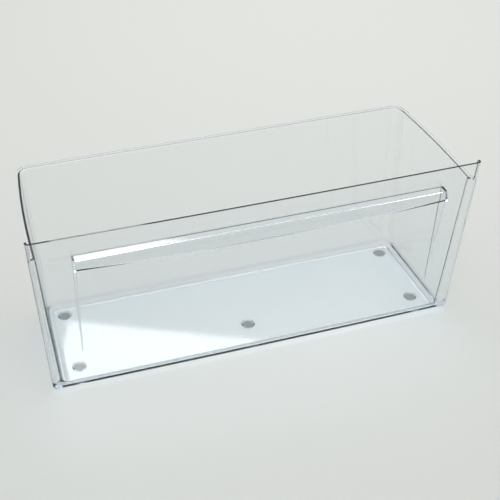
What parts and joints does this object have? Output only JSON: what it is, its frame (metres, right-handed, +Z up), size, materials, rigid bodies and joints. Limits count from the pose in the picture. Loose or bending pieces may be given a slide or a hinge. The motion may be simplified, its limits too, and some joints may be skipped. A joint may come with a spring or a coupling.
{
  "type": "fridge crisper drawer",
  "caption": "Clear one-piece crisper drawer with a raised front panel, a flanged side and back rim, a long pull lip and button feet.",
  "frame": {"origin": "centre of the drawer's bounding box, on the plane that the feet stand on", "axes": "+X to the right as seen from the front, +Y from the front panel towards the back, +Z up"},
  "size_m": [0.46, 0.185, 0.202],
  "materials": {
    "clear_plastic": "clear, polished"
  },
  "bodies": {
    "root": {"drawer": "clear_plastic"}
  },
  "joints": []
}
